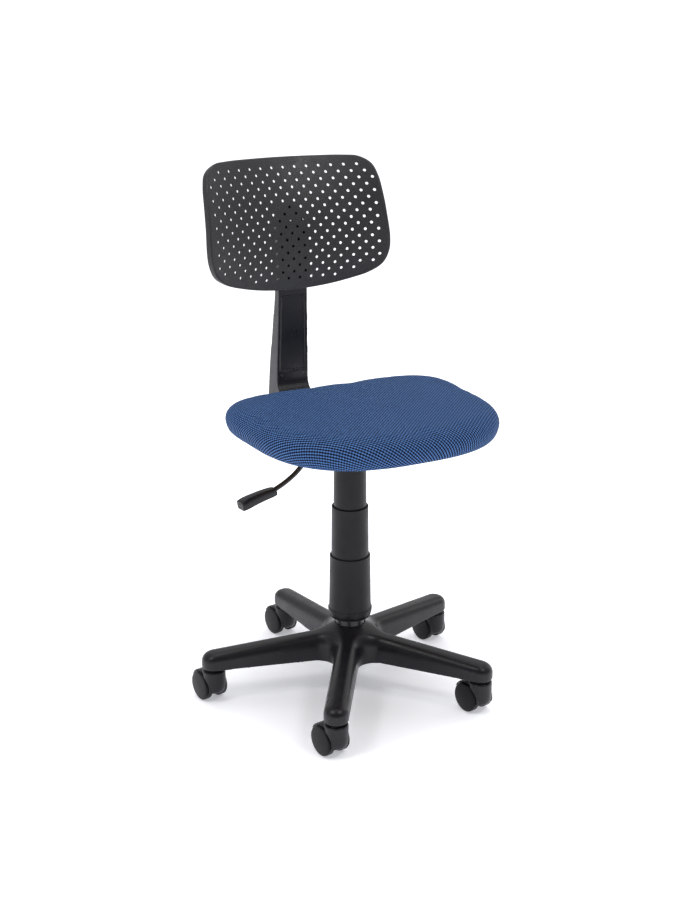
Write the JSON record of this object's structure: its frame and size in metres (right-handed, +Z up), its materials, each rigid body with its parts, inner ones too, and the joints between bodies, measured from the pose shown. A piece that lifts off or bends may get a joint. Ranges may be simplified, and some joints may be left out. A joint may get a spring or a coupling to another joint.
{
  "type": "swivel office chair",
  "caption": "Armless swivel office chair: star base on twin-wheel casters, gas lift with telescopic sleeves, padded blue mesh seat, bent back bar and perforated black backrest.",
  "frame": {"origin": "on the floor under the middle of the bounding box; the column's axis stands at x 5.48 mm, y -17.13 mm", "axes": "+Z up along the column, the sitter faces -Y, and the height lever is on the -X side"},
  "size_m": [0.4942, 0.5218, 0.8748],
  "materials": {
    "nylon": "grained moulded nylon, satin",
    "sleeve_plastic": "smooth satin plastic",
    "wheel_plastic": "smooth satin plastic",
    "black_steel": "black gloss paint",
    "zinc_steel": "zinc plated, satin",
    "chromed_steel": "polished",
    "bearing_steel": "ground",
    "bush": "natural acetal",
    "plywood": "unfinished plywood",
    "foam": "open-cell foam",
    "blue_mesh": "knitted spacer mesh",
    "shell_plastic": "fine-grained satin plastic"
  },
  "bodies": {
    "base": {"star_base": "nylon", "gas_column_tube": "black_steel", "column_guide_bush": "bush", "thrust_bearing": "bearing_steel", "lower_sleeve": "sleeve_plastic"},
    "lift_rod": {"piston_rod": "chromed_steel", "retaining_clip": "bearing_steel"},
    "middle_sleeve_body": {"middle_sleeve": "sleeve_plastic"},
    "seat": {"pressure_cylinder": "chromed_steel", "upper_sleeve": "sleeve_plastic", "seat_plate": "black_steel", "seat_bolt_1": "zinc_steel", "seat_bolt_2": "zinc_steel", "seat_bolt_3": "zinc_steel", "seat_bolt_4": "zinc_steel", "seat_board": "plywood", "seat_foam": "foam", "seat_cover": "blue_mesh", "back_bar": "nylon", "back_bar_bolt_1": "zinc_steel", "back_bar_bolt_2": "zinc_steel", "back_bar_screw_left": "black_steel", "back_bar_screw_right": "black_steel", "backrest_shell": "shell_plastic", "backrest_screw_lower": "zinc_steel", "backrest_screw_upper": "zinc_steel"},
    "release_pin_body": {"release_pin": "bearing_steel"},
    "lever": {"lever_rod": "black_steel", "lever_grip": "nylon"},
    "caster_1": {"caster_1_stem": "zinc_steel", "caster_1_hood": "nylon", "caster_1_axle": "zinc_steel"},
    "caster_1_left": {"caster_1_wheel_left": "wheel_plastic"},
    "caster_1_right": {"caster_1_wheel_right": "wheel_plastic"},
    "caster_2": {"caster_2_stem": "zinc_steel", "caster_2_hood": "nylon", "caster_2_axle": "zinc_steel"},
    "caster_2_left": {"caster_2_wheel_left": "wheel_plastic"},
    "caster_2_right": {"caster_2_wheel_right": "wheel_plastic"},
    "caster_3": {"caster_3_stem": "zinc_steel", "caster_3_hood": "nylon", "caster_3_axle": "zinc_steel"},
    "caster_3_left": {"caster_3_wheel_left": "wheel_plastic"},
    "caster_3_right": {"caster_3_wheel_right": "wheel_plastic"},
    "caster_4": {"caster_4_stem": "zinc_steel", "caster_4_hood": "nylon", "caster_4_axle": "zinc_steel"},
    "caster_4_left": {"caster_4_wheel_left": "wheel_plastic"},
    "caster_4_right": {"caster_4_wheel_right": "wheel_plastic"},
    "caster_5": {"caster_5_stem": "zinc_steel", "caster_5_hood": "nylon", "caster_5_axle": "zinc_steel"},
    "caster_5_left": {"caster_5_wheel_left": "wheel_plastic"},
    "caster_5_right": {"caster_5_wheel_right": "wheel_plastic"}
  },
  "joints": [
    {"name": "seat_swivel", "type": "hinge", "parent": "base", "child": "lift_rod", "pos_m": [0.00627, -0.01737, 0.074], "axis": [0, 0, 1], "continuous": true},
    {"name": "seat_lift", "type": "slide", "parent": "lift_rod", "child": "seat", "axis": [0, 0, 1], "range_m": [-0.1, 0]},
    {"name": "middle_sleeve_slide", "type": "slide", "parent": "base", "child": "middle_sleeve_body", "axis": [0, 0, 1], "range_m": [-0.05, 0]},
    {"name": "lever_hinge", "type": "hinge", "parent": "seat", "child": "lever", "pos_m": [-0.03532, -0.02321, 0.465], "axis": [-0.1392, 0.9903, 0], "range_deg": [0, 4.5], "stiffness_Nm_per_rad": 3},
    {"name": "release_pin_slide", "type": "slide", "parent": "seat", "child": "release_pin_body", "axis": [0, 0, 1], "range_m": [-0.0035, 0]},
    {"name": "caster_1_swivel", "type": "hinge", "parent": "base", "child": "caster_1", "pos_m": [-0.12178, -0.21418, 0.057], "axis": [0, 0, 1], "continuous": true},
    {"name": "caster_1_left_spin", "type": "hinge", "parent": "caster_1", "child": "caster_1_left", "pos_m": [-0.12431, -0.19838, 0.025], "axis": [0.9874, 0.1582, 0], "continuous": true},
    {"name": "caster_1_right_spin", "type": "hinge", "parent": "caster_1", "child": "caster_1_right", "pos_m": [-0.12431, -0.19838, 0.025], "axis": [0.9874, 0.1582, 0], "continuous": true},
    {"name": "caster_2_swivel", "type": "hinge", "parent": "base", "child": "caster_2", "pos_m": [0.15388, -0.19997, 0.057], "axis": [0, 0, 1], "continuous": true},
    {"name": "caster_2_left_spin", "type": "hinge", "parent": "caster_2", "child": "caster_2_left", "pos_m": [0.15135, -0.18417, 0.025], "axis": [0.9874, 0.1582, 0], "continuous": true},
    {"name": "caster_2_right_spin", "type": "hinge", "parent": "caster_2", "child": "caster_2_right", "pos_m": [0.15135, -0.18417, 0.025], "axis": [0.9874, 0.1582, 0], "continuous": true},
    {"name": "caster_3_swivel", "type": "hinge", "parent": "base", "child": "caster_3", "pos_m": [0.22555, 0.06658, 0.057], "axis": [0, 0, 1], "continuous": true},
    {"name": "caster_3_left_spin", "type": "hinge", "parent": "caster_3", "child": "caster_3_left", "pos_m": [0.22302, 0.08238, 0.025], "axis": [0.9874, 0.1582, 0], "continuous": true},
    {"name": "caster_3_right_spin", "type": "hinge", "parent": "caster_3", "child": "caster_3_right", "pos_m": [0.22302, 0.08238, 0.025], "axis": [0.9874, 0.1582, 0], "continuous": true},
    {"name": "caster_4_swivel", "type": "hinge", "parent": "base", "child": "caster_4", "pos_m": [-0.00581, 0.21712, 0.057], "axis": [0, 0, 1], "continuous": true},
    {"name": "caster_4_left_spin", "type": "hinge", "parent": "caster_4", "child": "caster_4_left", "pos_m": [-0.00834, 0.23292, 0.025], "axis": [0.9874, 0.1582, 0], "continuous": true},
    {"name": "caster_4_right_spin", "type": "hinge", "parent": "caster_4", "child": "caster_4_right", "pos_m": [-0.00834, 0.23292, 0.025], "axis": [0.9874, 0.1582, 0], "continuous": true},
    {"name": "caster_5_swivel", "type": "hinge", "parent": "base", "child": "caster_5", "pos_m": [-0.22048, 0.0436, 0.057], "axis": [0, 0, 1], "continuous": true},
    {"name": "caster_5_left_spin", "type": "hinge", "parent": "caster_5", "child": "caster_5_left", "pos_m": [-0.22301, 0.0594, 0.025], "axis": [0.9874, 0.1582, 0], "continuous": true},
    {"name": "caster_5_right_spin", "type": "hinge", "parent": "caster_5", "child": "caster_5_right", "pos_m": [-0.22301, 0.0594, 0.025], "axis": [0.9874, 0.1582, 0], "continuous": true}
  ],
  "couplings": [
    {"joint": "middle_sleeve_slide", "follows": "seat_lift", "ratio": 0.5},
    {"joint": "release_pin_slide", "follows": "lever_hinge", "m_per_rad": -0.042}
  ]
}
